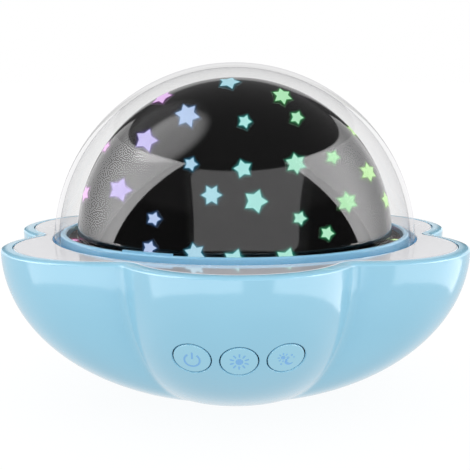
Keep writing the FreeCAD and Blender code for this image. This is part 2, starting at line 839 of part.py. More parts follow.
def led_lamps():
    """Four square lamps on the lamp board."""
    low = level(-lamp_column_rise) + board_thickness
    lamps = []
    for index in range(lamp_count):
        lamp = block(lamp_size, lamp_size, lamp_height, lamp_circle, 0, low)
        top = low + lamp_height
        lamp = lamp.fuse(disc(lamp_lens_radius, top, top + lamp_lens_height, lamp_circle, 0))
        lamps.append(turned(lamp, 45 + index * 360 / lamp_count))
    return Part.makeCompound(lamps)


def push_button(form, column):
    """Button cap flush with the wall, with its stop flange and stem."""
    cap = button_cylinder(button_radius, -4, button_flange_seat, 0, 0, column).common(form)
    cap = cap.makeFillet(button_edge, mouth_edges(cap, column, button_radius))
    stop_end = button_flange_seat + button_flange_thickness
    stop = button_cylinder(button_flange_radius, button_flange_seat, stop_end, 0, 0, column)
    stem = button_cylinder(stem_radius, stop_end, plunger_seat, 0, 0, column)
    return cap.fuse([stop, stem]).removeSplitter()


def switch_plunger(column):
    """Plunger of a tact switch, moved by the button's stem."""
    return button_cylinder(plunger_radius, plunger_seat, plunger_seat + plunger_length, 0, 0, column)


def tact_switches():
    """Three tact switches on the button board."""
    switches = []
    for column in button_columns.values():
        corner = Vec(-switch_size / 2, -switch_size / 2, switch_seat)
        body = Part.makeBox(switch_size, switch_size, switch_height, corner)
        below = Vec(0, 0, switch_seat - 1)
        body = body.cut(Part.makeCylinder(plunger_radius + 0.1, switch_height, below, UP))
        body.Placement = button_placement(column)
        switches.append(body)
    return Part.makeCompound(switches)


def button_board():
    """Board behind the front petal that carries the switches."""
    board = Part.makeBox(
        button_board_width, button_board_height, board_thickness,
        Vec(-button_board_width / 2, button_board_drop - button_board_height / 2, board_seat))
    board.Placement = button_placement(0)
    holes = []
    for side in (-1, 1):
        x = side * button_spacing / 2
        hole_radius = screw_radius + screw_play
        hole = button_cylinder(hole_radius, board_seat - 1, board_seat + 3, x, button_post_drop)
        holes.append(hole)
    return board.cut(holes)


def button_board_screws():
    """Two screws of the button board."""
    screws = []
    inward = button_placement(0).Rotation.multVec(UP)
    for side in (-1, 1):
        local = Vec(side * button_spacing / 2, button_post_drop, board_seat + board_thickness)
        screws.append(screw(button_placement(0).multVec(local), inward * -1, board_thickness + screw_bite))
    return Part.makeCompound(screws)


def main_board():
    """Control board on four bosses of the floor."""
    board = block(main_board_width, main_board_length, board_thickness, 0, main_board_y, main_board_z)
    holes = []
    for x, y in board_screw_places():
        holes.append(disc(screw_radius + screw_play, main_board_z - 1, main_board_z + 3, x, y))
    return board.cut(holes)


def board_parts():
    """Controller chip, smoothing capacitor, motor driver and lead connectors on the main board."""
    top = main_board_z + board_thickness
    chip = block(chip_width, chip_length, chip_height, -6, main_board_y, top)
    driver = block(driver_size, driver_size, driver_height, 6, main_board_y - 2, top)
    capacitor = disc(capacitor_radius, top, top + capacitor_height, 14, main_board_y + 4)
    parts = [chip, driver, capacitor]
    for place in (-1, 0, 1):
        x = place * connector_spacing
        y = main_board_y - connector_back
        parts.append(block(connector_width, connector_length, connector_height, x, y, top))
    return Part.makeCompound(parts)


def board_screws():
    """Four screws of the main board."""
    top = main_board_z + board_thickness
    screws = []
    for x, y in board_screw_places():
        screws.append(screw(Vec(x, y, top), UP * -1, board_thickness + screw_bite))
    return Part.makeCompound(screws)


def battery_tray():
    """Tray with a low lip that holds the battery above the floor."""
    tray = block(tray_width, tray_length, tray_floor + tray_lip, 0, tray_y, tray_z)
    sill = tray_z + tray_floor
    inside = 2 * tray_wall
    room = block(tray_width - inside, tray_length - inside, tray_lip + 1, 0, tray_y, sill)
    notch = block(tray_notch, tray_length + 2, tray_lip + 1, 0, tray_y, sill + tray_notch_sill)
    return tray.cut([room, notch])


def battery_cell():
    """Rechargeable flat cell."""
    less = 2 * (tray_wall + cell_play)
    cell = block(tray_width - less, tray_length - less, cell_height, 0, tray_y, tray_z + tray_floor)
    return cell.makeFillet(cell_round, cell.Edges)


def usb_socket():
    """Charging socket behind the slot in the rear petal."""
    back = usb_mouth_y - usb_length
    shell = rounded_bar(usb_width, usb_height, usb_length, back, usb_z)
    room_width = usb_width - 2 * usb_shell
    room_height = usb_height - 2 * usb_shell
    room = rounded_bar(room_width, room_height, usb_length, back + usb_back, usb_z)
    tongue_y = back + usb_tongue_length / 2 + usb_back / 3
    tongue_z = usb_z - usb_tongue_height / 2
    tongue = block(usb_tongue_width, usb_tongue_length, usb_tongue_height, 0, tongue_y, tongue_z)
    return shell.cut(room).fuse(tongue)


def usb_board():
    """Charging board on its two posts."""
    return block(usb_board_width, usb_board_length, board_thickness, 0, usb_board_y, usb_board_z)


def rubber_feet():
    """Six soft feet in the recesses of the base."""
    feet = []
    for azimuth in petal_azimuths:
        centre = polar(foot_circle, azimuth)
        radius = foot_radius - foot_play
        feet.append(disc(radius, 0, base_level + foot_recess, centre.x, centre.y))
    return Part.makeCompound(feet)


def ring_screws():
    """Four screws that hold the dome ring and the chassis to the bowl."""
    screws = []
    seat = level(ring_seat_depth) + ear_thickness
    length = ear_thickness + chassis_floor + screw_bite
    for azimuth in ear_azimuths:
        screws.append(screw(polar(ear_screw_circle, azimuth, seat), UP * -1, length))
    return Part.makeCompound(screws)


def make_nodes():
    """Every piece under its node's name."""
    form = bowl_form()
    nodes = {
        "lower_housing": lower_housing(form),
        "top_cover": top_cover(),
        "dome_ring": dome_ring(),
        "clear_dome": clear_dome(),
        "star_mask": star_mask(),
        "diffuser_dome": diffuser_dome(),
        "turntable": turntable(),
        "drive_pinion": drive_pinion(),
        "motor_shaft": motor_shaft(),
        "chassis": chassis(),
        "glide_ring": glide_ring(),
        "gear_motor": gear_motor(),
        "motor_bracket": motor_bracket(),
        "motor_screws": motor_screws(),
        "lamp_column": lamp_column(),
        "lamp_board": lamp_board(),
        "led_lamps": led_lamps(),
        "tact_switches": tact_switches(),
        "button_board": button_board(),
        "button_board_screws": button_board_screws(),
        "main_board": main_board(),
        "board_parts": board_parts(),
        "board_screws": board_screws(),
        "battery_tray": battery_tray(),
        "battery_cell": battery_cell(),
        "usb_socket": usb_socket(),
        "usb_board": usb_board(),
        "rubber_feet": rubber_feet(),
        "ring_screws": ring_screws(),
    }
    for name, column in button_columns.items():
        nodes[name + "_button"] = push_button(form, column)
        nodes[name + "_plunger"] = switch_plunger(column)
    return nodes


os.makedirs("parts", exist_ok=True)
for node, shape in make_nodes().items():
    shape.exportStep("parts/" + node + ".step")
    box = shape.BoundBox
    print(node, len(shape.Solids), "solids, valid", shape.isValid(), "volume", round(shape.Volume, 1),
          "z", round(box.ZMin, 2), round(box.ZMax, 2))
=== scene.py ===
"""Looks of the star night light projector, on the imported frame. Metres, the same axes as the part."""
import math
from functools import partial

import bmesh
import bpy
from mathutils import Matrix, Vector


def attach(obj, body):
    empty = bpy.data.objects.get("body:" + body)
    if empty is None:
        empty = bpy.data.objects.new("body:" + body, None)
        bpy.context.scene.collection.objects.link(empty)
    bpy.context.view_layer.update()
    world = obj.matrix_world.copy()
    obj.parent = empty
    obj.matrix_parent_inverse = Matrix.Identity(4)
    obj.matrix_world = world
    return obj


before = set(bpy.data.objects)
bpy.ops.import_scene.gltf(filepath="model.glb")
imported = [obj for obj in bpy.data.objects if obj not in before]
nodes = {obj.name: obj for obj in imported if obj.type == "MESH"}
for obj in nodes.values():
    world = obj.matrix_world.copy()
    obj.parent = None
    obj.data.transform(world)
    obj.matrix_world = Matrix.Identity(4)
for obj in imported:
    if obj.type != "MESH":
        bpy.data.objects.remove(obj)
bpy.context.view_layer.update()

MM = 0.001

# Sizes shared with the part, in millimetres
plate_level = 50.8
star_centre = plate_level - 0.1
star_outer = 51.3
flange_top = plate_level
flange_middle = 52.8
half_width = 72.5
bowl_drop = 54.0
petal_offset = 43.206
petal_fade = 1.5
button_depth = 25.3
button_spacing = 13.0

# Camera
camera_azimuth = -1.05
camera_elevation = 8.48
camera_distance = 379.0
camera_lens = 88.0
camera_target = (0.08, 0.0, 50.44)

# Kinds of star: points, reach of a tip, and direction of a tip from the right-hand side
star_kinds = {
    "small": (5, 2.05, 69),
    "fair": (5, 2.7, 33),
    "large": (5, 3.5, 70),
    "upright": (5, 3.4, 0),
    "six": (6, 3.05, 40),
    "level_six": (6, 3.0, 0),
    "large_six": (6, 3.7, 50),
}

# Stars of one half of the dome: azimuth from the front, latitude and kind. They stand at the part's
# places, but the lowest stand a little lower, and three of them run past the dome's foot and are cut.
dome_stars = (
    (-28, 52, "large_six"), (-44, 40, "large"), (-18, 31.5, "small"), (-47, 21, "large"),
    (-9, 21, "level_six"), (-29, 12.5, "small"), (-10, 77, "upright"), (-71, 61.5, "large"),
    (-78, 35, "small"), (-76, 17, "fair"), (39, 63.5, "six"), (34, 50.5, "small"),
    (4, 49, "small"), (2, 30, "fair"), (23, 31.5, "six"), (42, 33, "small"),
    (63, 26, "six"), (42, 17, "six"), (6, 19, "large"), (21, 13, "small"),
    (31, 7.5, "small"), (81, 42, "fair"), (74, 14.5, "fair"), (-30, 3, "small"),
    (-14, 2, "six"), (-1, 0, "upright"), (16, 0, "upright"),
)

# Displayed tint of the stars by azimuth from the front
tint_scale = (
    (-80, (250, 196, 250)), (-46, (208, 196, 248)), (-22, (178, 212, 240)), (3, (176, 236, 232)),
    (23, (178, 238, 212)), (42, (182, 240, 186)), (64, (192, 240, 164)), (90, (206, 242, 170)),
)
star_inner_share = 0.575
star_stretch_limit = 2.2

# Star windows in the mask's flange: azimuth from the front, points, reach of a tip, turn and colour
flange_stars = ((-76, 5, 1.35, 20, (255, 170, 232)), (75, 5, 1.35, 0, (214, 248, 170)))

# The gloss skin of the dome and of its flange, and the lit stars, above the mask in millimetres
skin_floor = 0.01
skin_top = 0.05
lit_floor = 0.02
lit_top = 0.075
lit_foot = flange_top + 0.03
band_margin = 0.2
skin_steps = 60
skin_segments = 240

# Rings of a star from its middle out: share of the outline, distance past it, filling of the
# notches and light
star_rings = (
    (0.15, 0.0, 0.0, 1.0), (0.35, 0.0, 0.0, 1.0), (0.55, 0.0, 0.0, 1.0), (0.78, 0.0, 0.0, 1.0),
    (1.0, 0.0, 0.0, 1.0), (1.0, 0.04, 0.0, 0.5), (1.0, 0.22, 0.06, 0.26), (1.0, 0.48, 0.14, 0.09),
    (1.0, 0.85, 0.3, 0.0),
)
lit_rings = 5


class Graph:
    """Short way to write shader nodes: each call adds a node and returns its output."""

    def __init__(self, tree):
        self.tree = tree
        self.tree.nodes.clear()

    def node(self, kind, inputs=None, **settings):
        made = self.tree.nodes.new(kind)
        for key, value in settings.items():
            setattr(made, key, value)
        for key, value in (inputs or {}).items():
            if isinstance(value, bpy.types.NodeSocket):
                self.tree.links.new(value, made.inputs[key])
            else:
                made.inputs[key].default_value = value
        return made

    def math(self, operation, *values, clamp=False):
        inputs = dict(enumerate(values))
        return self.node("ShaderNodeMath", inputs, operation=operation, use_clamp=clamp).outputs[0]

    def smooth(self, value, low, high, to_low=0.0, to_high=1.0):
        inputs = {"Value": value, "From Min": low, "From Max": high, "To Min": to_low, "To Max": to_high}
        made = self.node("ShaderNodeMapRange", inputs, interpolation_type="SMOOTHSTEP")
        return made.outputs["Result"]

    def dot(self, vector, axis):
        made = self.node("ShaderNodeVectorMath", {0: vector, 1: axis}, operation="DOT_PRODUCT")
        return made.outputs["Value"]

    def ramp(self, value, stops, interpolation="LINEAR"):
        made = self.node("ShaderNodeValToRGB", {"Fac": value})
        made.color_ramp.interpolation = interpolation
        elements = made.color_ramp.elements
        while len(elements) < len(stops):
            elements.new(1.0)
        for element, (place, colour) in zip(elements, stops):
            element.position = place
            element.color = (*colour, 1.0)
        return made.outputs["Color"]

    def mix(self, share, first, second):
        made = self.node("ShaderNodeMix", {"Factor": share}, data_type="RGBA")
        for socket, value in ((made.inputs[6], first), (made.inputs[7], second)):
            if isinstance(value, bpy.types.NodeSocket):
                self.tree.links.new(value, socket)
            else:
                socket.default_value = (*value, 1.0)
        return made.outputs[2]


def linear(red, green, blue):
    """Linear colour of a displayed colour given from 0 to 255."""
    def one(value):
        share = value / 255
        return share / 12.92 if share <= 0.04045 else ((share + 0.055) / 1.055) ** 2.4
    return one(red), one(green), one(blue)


def front_axes():
    """Axes of the photograph's view: to the right, up and back towards the viewer."""
    azimuth, elevation = math.radians(camera_azimuth), math.radians(camera_elevation)
    to_right = Vector((math.cos(azimuth), math.sin(azimuth), 0.0))
    back = Vector((
        math.sin(azimuth) * math.cos(elevation),
        -math.cos(azimuth) * math.cos(elevation),
        math.sin(elevation),
    ))
    return to_right, back.cross(to_right), back


def place_camera():
    """Camera at the photograph's angle."""
    back = front_axes()[2]
    data = bpy.data.cameras.new("camera")
    data.lens = camera_lens
    data.sensor_width = 36.0
    camera = bpy.data.objects.new("camera", data)
    bpy.context.scene.collection.objects.link(camera)
    camera.location = (Vector(camera_target) + back * camera_distance) * MM
    camera.rotation_euler = back.to_track_quat("Z", "Y").to_euler()
    bpy.context.scene.camera = camera


def light_world():
    """Studio around the object: white behind it, side panels, a soft front panel and low panels."""
    world = bpy.data.worlds.new("studio")
    bpy.context.scene.world = world
    world.use_nodes = True
    g = Graph(world.node_tree)
    direction = g.node("ShaderNodeTexCoord").outputs["Generated"]
    x = g.dot(direction, (1, 0, 0))
    y = g.dot(direction, (0, 1, 0))
    z = g.dot(direction, (0, 0, 1))
    view_up = g.dot(direction, (0, 0.1475, 0.989))
    view_along = g.dot(direction, (0, 0.989, -0.1475))

    ceiling = g.smooth(g.dot(direction, (0, 0.389, 0.921)), 0.595, 0.615)
    aside = g.math("ABSOLUTE", x)
    top_edge = g.math("MULTIPLY_ADD", aside, -0.247, g.dot(direction, (0, 0.322, 0.914)))
    front_edge = g.math("MULTIPLY_ADD", aside, 0.317, g.dot(direction, (0, 0.758, 0.570)))
    back_edge = g.math("MULTIPLY_ADD", aside, 0.902, g.dot(direction, (0, -0.260, -0.343)))
    side_panel = g.math("MULTIPLY", g.smooth(top_edge, 0.495, 0.480), g.smooth(front_edge, 0.345, 0.360))
    side_panel = g.math("MULTIPLY", side_panel, g.smooth(back_edge, -0.01, 0.01))
    side_level = g.smooth(view_along, -0.1, 0.75, 7.2, 1.06)
    above = g.smooth(z, -0.12, -0.08)

    front_x = g.math("SUBTRACT", g.math("ABSOLUTE", g.math("SUBTRACT", x, 0.105)), 0.475)
    front_z = g.math("SUBTRACT", g.math("ABSOLUTE", g.math("SUBTRACT", view_up, 0.25)), 0.33)
    corner = g.math("SQRT", g.math("ADD",
        g.math("POWER", g.math("MAXIMUM", front_x, 0.0), 2.0),
        g.math("POWER", g.math("MAXIMUM", front_z, 0.0), 2.0)))
    front_panel = g.smooth(corner, 0.13, 0.11)
    front_panel = g.math("MULTIPLY", front_panel, g.smooth(y, 0.0, -0.05))

    spot_near = g.dot(direction, (-0.560, 0.149, 0.815))
    spot = g.math("MULTIPLY", g.smooth(spot_near, 0.915, 0.97), ceiling)

    low_share = g.math("MULTIPLY", g.smooth(z, -0.19, -0.21), g.smooth(z, -0.43, -0.41))
    azimuth = g.math("ARCTAN2", x, g.math("MULTIPLY", y, -1.0))
    left_low = g.math("MULTIPLY", g.smooth(azimuth, -1.66, -1.57), g.smooth(azimuth, 0.10, 0.03))
    right_low = g.math("MULTIPLY", g.smooth(azimuth, 0.55, 0.62), g.smooth(azimuth, 2.25, 2.15))
    low_panel = g.math("MULTIPLY", low_share, g.math("ADD", left_low, right_low))

    base = g.math("MULTIPLY_ADD", ceiling, 0.01, g.smooth(z, 0.33, 0.42, 0.09, 0.20))
    behind = g.math("MULTIPLY", g.smooth(aside, 0.26, 0.20), g.smooth(y, 0.6, 0.7))
    behind = g.math("MULTIPLY", behind, g.smooth(z, 0.40, 0.30))
    base = g.math("MULTIPLY_ADD", behind, 0.66, base)
    upper = g.math("MULTIPLY_ADD", side_panel, side_level, base)
    upper = g.math("MULTIPLY_ADD", g.math("MULTIPLY", front_panel, above), 1.9, upper)
    upper = g.math("MULTIPLY_ADD", spot, 3.2, upper)
    lower = g.math("MULTIPLY_ADD", low_panel, 2.0, g.smooth(z, -0.5, -0.85, 0.85, 0.55))
    level = g.math("ADD", g.math("MULTIPLY", upper, above),
                   g.math("MULTIPLY", lower, g.math("SUBTRACT", 1.0, above)))
    ways = g.node("ShaderNodeLightPath")
    white_rays = g.math("MAXIMUM", ways.outputs["Is Camera Ray"], ways.outputs["Is Transmission Ray"])
    soft = g.math("MULTIPLY_ADD", z, 0.22, 1.0)
    is_soft = ways.outputs["Is Diffuse Ray"]
    level = g.math("ADD", g.math("MULTIPLY", level, g.math("SUBTRACT", 1.0, is_soft)),
                   g.math("MULTIPLY", soft, is_soft))
    plain = g.node("ShaderNodeBackground", {"Color": (1, 1, 1, 1), "Strength": 1.0}).outputs[0]
    studio = g.node("ShaderNodeBackground", {"Color": (1.0, 0.995, 1.0, 1), "Strength": level}).outputs[0]
    both = g.node("ShaderNodeMixShader", {0: white_rays, 1: studio, 2: plain}).outputs[0]
    g.node("ShaderNodeOutputWorld", {"Surface": both})
    world.cycles.sampling_method = "NONE"


def lay_floor():
    """Plain pale floor that only keeps a soft shadow of the object."""
    mesh = bpy.data.meshes.new("floor")
    reach = 6.0
    corners = [(-reach, -reach, 0), (reach, -reach, 0), (reach, reach, 0), (-reach, reach, 0)]
    mesh.from_pydata(corners, [], [(0, 1, 2, 3)])
    floor = bpy.data.objects.new("floor", mesh)
    bpy.context.scene.collection.objects.link(floor)
    material = bpy.data.materials.new("floor_white")
    material.use_nodes = True
    g = Graph(material.node_tree)
    ways = g.node("ShaderNodeLightPath")
    white_rays = g.math("MAXIMUM", ways.outputs["Is Camera Ray"], ways.outputs["Is Transmission Ray"])
    share = g.math("MULTIPLY", white_rays, 0.9)
    matte = g.node("ShaderNodeBsdfDiffuse", {"Color": (0.9, 0.9, 0.9, 1)}).outputs[0]
    glow = g.node("ShaderNodeEmission", {"Color": (1, 1, 1, 1), "Strength": 1.02}).outputs[0]
    surface = g.node("ShaderNodeMixShader", {0: share, 1: matte, 2: glow}).outputs[0]
    g.node("ShaderNodeOutputMaterial", {"Surface": surface})
    mesh.materials.append(material)
    floor.visible_diffuse = False
    floor.visible_glossy = False
    floor.visible_shadow = False


def plastic(name, colour, roughness, variation=0.03, grain=900.0, bump=0.02, coat=0.0, settings=None):
    """Moulded plastic: a faint unevenness of colour, gloss and surface, as moulding leaves it."""
    material = bpy.data.materials.new(name)
    material.use_nodes = True
    g = Graph(material.node_tree)
    place = g.node("ShaderNodeTexCoord").outputs["Object"]
    broad = g.node("ShaderNodeTexNoise", {"Vector": place, "Scale": 28.0, "Detail": 3.0}).outputs["Fac"]
    fine = g.node("ShaderNodeTexNoise", {"Vector": place, "Scale": grain, "Detail": 4.0}).outputs["Fac"]
    darker = tuple(c * (1 - variation) for c in colour)
    lighter = tuple(min(1.0, c * (1 + variation)) for c in colour)
    tone = g.ramp(broad, [(0.3, darker), (0.7, lighter)])
    gloss = g.smooth(fine, 0.2, 0.8, roughness * 0.85, roughness * 1.15)
    height = g.node("ShaderNodeBump", {"Height": fine, "Strength": bump, "Distance": 0.0002})
    inputs = {"Base Color": tone, "Roughness": gloss, "Normal": height.outputs["Normal"]}
    if coat:
        inputs["Coat Weight"] = coat
        inputs["Coat Roughness"] = 0.03
    inputs.update(settings or {})
    shader = g.node("ShaderNodeBsdfPrincipled", inputs)
    g.node("ShaderNodeOutputMaterial", {"Surface": shader.outputs[0]})
    return material


def metal(name, colour, roughness):
    """Turned or stamped metal with fine lines and a little tarnish."""
    material = bpy.data.materials.new(name)
    material.use_nodes = True
    g = Graph(material.node_tree)
    place = g.node("ShaderNodeTexCoord").outputs["Object"]
    lines = g.node("ShaderNodeTexNoise", {"Vector": place, "Scale": 1500.0, "Detail": 2.0}).outputs["Fac"]
    cloud = g.node("ShaderNodeTexNoise", {"Vector": place, "Scale": 90.0, "Detail": 3.0}).outputs["Fac"]
    tone = g.ramp(cloud, [(0.3, tuple(c * 0.85 for c in colour)), (0.7, colour)])
    gloss = g.smooth(lines, 0.2, 0.8, roughness * 0.7, roughness * 1.3)
    shader = g.node("ShaderNodeBsdfPrincipled", {"Base Color": tone, "Roughness": gloss, "Metallic": 1.0})
    g.node("ShaderNodeOutputMaterial", {"Surface": shader.outputs[0]})
    return material


def clear_plastic():
    """Clear moulded dome: a faint grey film that is denser at a slant, with soft reflections."""
    material = bpy.data.materials.new("clear_plastic")
    material.use_nodes = True
    g = Graph(material.node_tree)
    place = g.node("ShaderNodeTexCoord").outputs["Object"]
    haze = g.node("ShaderNodeTexNoise", {"Vector": place, "Scale": 60.0, "Detail": 3.0}).outputs["Fac"]
    slant = g.node("ShaderNodeLayerWeight", {"Blend": 0.5}).outputs["Facing"]
    film = g.ramp(slant, [(0.0, (0.965,) * 3), (0.6, (0.95,) * 3), (0.9, (0.93,) * 3), (1.0, (0.88,) * 3)])
    through = g.node("ShaderNodeBsdfTransparent", {"Color": film}).outputs[0]
    gloss = g.smooth(haze, 0.2, 0.8, 0.01, 0.03)
    shine = g.node("ShaderNodeBsdfGlossy", {"Color": (0.9, 0.9, 0.92, 1), "Roughness": gloss}).outputs[0]
    outside = g.math("SUBTRACT", 1.0, g.node("ShaderNodeNewGeometry").outputs["Backfacing"])
    share = g.math("MULTIPLY", g.node("ShaderNodeFresnel", {"IOR": 1.12}).outputs[0], outside)
    surface = g.node("ShaderNodeMixShader", {0: share, 1: through, 2: shine}).outputs[0]
    g.node("ShaderNodeOutputMaterial", {"Surface": surface})
    return material


def tint_of_star(g):
    """Tint that each point of a star carries."""
    return g.node("ShaderNodeAttribute", attribute_name="tint").outputs["Color"]


def lit_plastic():
    """Milky plastic lit from behind."""
    material = bpy.data.materials.new("lit_stars")
    material.use_nodes = True
    g = Graph(material.node_tree)
    place = g.node("ShaderNodeTexCoord").outputs["Object"]
    cloud = g.node("ShaderNodeTexNoise", {"Vector": place, "Scale": 220.0, "Detail": 3.0}).outputs["Fac"]
    shader = g.node("ShaderNodeBsdfPrincipled", {
        "Base Color": (0.002, 0.002, 0.002, 1), "Roughness": 0.4, "Specular IOR Level": 0.1,
        "Emission Color": tint_of_star(g), "Emission Strength": g.smooth(cloud, 0.3, 0.7, 0.97, 1.03),
    })
    g.node("ShaderNodeOutputMaterial", {"Surface": shader.outputs[0]})
    return material


def glowing_mask():
    """Black gloss beside a lit window, with the window's light fading over it."""
    material = bpy.data.materials.new("star_glow")
    material.use_nodes = True
    g = Graph(material.node_tree)
    light = g.node("ShaderNodeAttribute", attribute_name="light").outputs["Fac"]
    rich = g.node("ShaderNodeHueSaturation", {"Color": tint_of_star(g), "Saturation": 1.8, "Value": 0.75})
    shader = g.node("ShaderNodeBsdfPrincipled", {
        "Base Color": (0.0015, 0.0015, 0.0015, 1), "Roughness": 0.03,
        "Emission Color": rich.outputs[0], "Emission Strength": light,
    })
    g.node("ShaderNodeOutputMaterial", {"Surface": shader.outputs[0]})
    return material


def mask_plastic():
    """Black gloss plastic."""
    material = bpy.data.materials.new("mask_black")
    material.use_nodes = True
    g = Graph(material.node_tree)
    place = g.node("ShaderNodeTexCoord").outputs["Object"]
    fine = g.node("ShaderNodeTexNoise", {"Vector": place, "Scale": 900.0, "Detail": 4.0}).outputs["Fac"]
    shader = g.node("ShaderNodeBsdfPrincipled", {
        "Base Color": (0.0015, 0.0015, 0.0015, 1), "Roughness": g.smooth(fine, 0.2, 0.8, 0.025, 0.035),
    })
    g.node("ShaderNodeOutputMaterial", {"Surface": shader.outputs[0]})
    return material


def flange_plastic():
    """Matt black of the mask's flange, with the light of its star windows on it."""
    material = bpy.data.materials.new("flange_black")
    material.use_nodes = True
    g = Graph(material.node_tree)
    place = g.node("ShaderNodeTexCoord").outputs["Object"]
    fine = g.node("ShaderNodeTexNoise", {"Vector": place, "Scale": 900.0, "Detail": 4.0}).outputs["Fac"]
    glows = []
    for azimuth, points, tip, turn, colour in flange_stars:
        glow = 0.0
        for half_turn in (0, 180):
            middle = on_flange(azimuth + half_turn, 0, 0, 0)
            near = g.node("ShaderNodeVectorMath", {0: place, 1: tuple(middle)}, operation="DISTANCE")
            glow = g.math("MAXIMUM", g.smooth(near.outputs["Value"], 0.007, 0.001), glow)
        glows.append(glow)
    colour = g.mix(glows[1], linear(200, 20, 130), linear(60, 130, 20))
    shader = g.node("ShaderNodeBsdfPrincipled", {
        "Base Color": (0.0015, 0.0015, 0.0015, 1), "Roughness": g.smooth(fine, 0.2, 0.8, 0.5, 0.6),
        "Specular IOR Level": 0.05, "Emission Color": colour,
        "Emission Strength": g.math("MULTIPLY", g.math("MAXIMUM", glows[0], glows[1]), 0.3),
    })
    g.node("ShaderNodeOutputMaterial", {"Surface": shader.outputs[0]})
    return material


def circuit_board():
    """Green board with fine copper tracks under the lacquer."""
    material = bpy.data.materials.new("circuit_board")
    material.use_nodes = True
    g = Graph(material.node_tree)
    place = g.node("ShaderNodeTexCoord").outputs["Object"]
    tracks = g.node("ShaderNodeTexBrick", {
        "Vector": place, "Scale": 160.0, "Mortar Size": 0.06,
        "Color1": (0.01, 0.09, 0.03, 1), "Color2": (0.012, 0.11, 0.035, 1), "Mortar": (0.03, 0.2, 0.07, 1),
    }).outputs["Color"]
    shader = g.node("ShaderNodeBsdfPrincipled", {"Base Color": tracks, "Roughness": 0.32})
    g.node("ShaderNodeOutputMaterial", {"Surface": shader.outputs[0]})
    return material


def dress(material, names):
    """Give the part's nodes a material."""
    for name in names:
        mesh = nodes[name].data
        mesh.materials.clear()
        mesh.materials.append(material)


def add_piece(name, mesh, material, body):
    """Put a finished mesh in the scene as a piece on a body."""
    mesh.materials.append(material)
    piece = bpy.data.objects.new(name, mesh)
    bpy.context.scene.collection.objects.link(piece)
    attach(piece, body)
    return piece


def star_reach(angle, points, tip, phase):
    """Distance from a star's centre to its outline in a direction, in degrees."""
    step = 360.0 / points
    local = (angle - phase) % step
    if local > step / 2:
        local = step - local
    valley = tip * star_inner_share
    half = math.radians(step / 2)
    local = math.radians(local)
    across = valley * math.sin(half)
    along = valley * math.cos(half) - tip
    return tip * across / (across * math.cos(local) - along * math.sin(local))


def on_dome(azimuth, latitude, half_turn, x, y, height):
    """Point of the dome for a flat point of a star, drawn so that the star looks regular from the front."""
    side, rise = math.radians(azimuth), math.radians(latitude)
    outward = Vector((math.sin(side) * math.cos(rise), -math.cos(side) * math.cos(rise), math.sin(rise)))
    to_right, upward, back = front_axes()
    centre = Vector((0, 0, star_centre))
    away = centre + outward * star_outer - Vector(camera_target) - back * camera_distance
    away.normalize()
    facing = max(-away.dot(outward), 0.05)
    flat = to_right * x + upward * y
    shift = flat + away * (flat.dot(outward) / facing)
    slope = (away - outward * away.dot(outward)).normalized()
    if 1 / facing > star_stretch_limit:
        shift -= slope * (shift.dot(slope) * (1 - star_stretch_limit * facing))
    shift -= outward * shift.dot(outward)
    point = (outward * star_outer + shift).normalized() * (star_outer + height) + centre
    return Matrix.Rotation(math.radians(half_turn), 4, "Z") @ point * MM


def on_flange(azimuth, x, y, height):
    """Point of the mask's flange above a flat point of the star's own plane."""
    spin = Matrix.Rotation(math.radians(azimuth), 4, "Z")
    return spin @ Vector((x, y - flange_middle, flange_top + height)) * MM


def tint_at(azimuth):
    """Displayed tint of a star at an azimuth from the front."""
    for (low, first), (high, second) in zip(tint_scale, tint_scale[1:]):
        if azimuth <= high:
            share = (azimuth - low) / (high - low)
            return tuple(a + (b - a) * share for a, b in zip(first, second))
    return tint_scale[-1][1]


def add_star(work, place, points, tip, phase, colour, spread):
    """Closed thin star with its glow; place gives the point for a flat position and a height."""
    light_layer, tint_layer = work.verts.layers.float["light"], work.verts.layers.float_color["tint"]
    count = points * 8
    tint = (*linear(*colour), 1.0)

    def spot(x, y, height, light):
        vert = work.verts.new(place(x, y, height))
        vert[light_layer] = light
        vert[tint_layer] = tint
        return vert

    tops = []
    for share, past, filling, light in star_rings:
        ring_verts = []
        for index in range(count):
            angle = phase + index * 360 / count
            reach = star_reach(angle, points, tip, phase)
            reach = reach * share + (past + filling * (tip - reach)) * spread
            turned = math.radians(angle)
            ring_verts.append((reach * math.cos(turned), reach * math.sin(turned), light))
        tops.append(ring_verts)
    floor_ring = [spot(x, y, lit_floor, light) for x, y, light in tops[-1]]
    tops = [[spot(x, y, lit_top, light) for x, y, light in ring_verts] for ring_verts in tops]
    middle = spot(0, 0, lit_top, 1.0)
    floor_middle = spot(0, 0, lit_floor, 1.0)
    for index in range(count):
        after = (index + 1) % count
        work.faces.new((middle, tops[0][index], tops[0][after]))
        for step, (low, high) in enumerate(zip(tops, tops[1:])):
            band = work.faces.new((low[index], high[index], high[after], low[after]))
            band.material_index = 0 if step < lit_rings - 1 else 1
        wall = work.faces.new((tops[-1][index], floor_ring[index], floor_ring[after], tops[-1][after]))
        for edge in wall.edges:
            edge.smooth = False
        work.faces.new((floor_middle, floor_ring[after], floor_ring[index]))


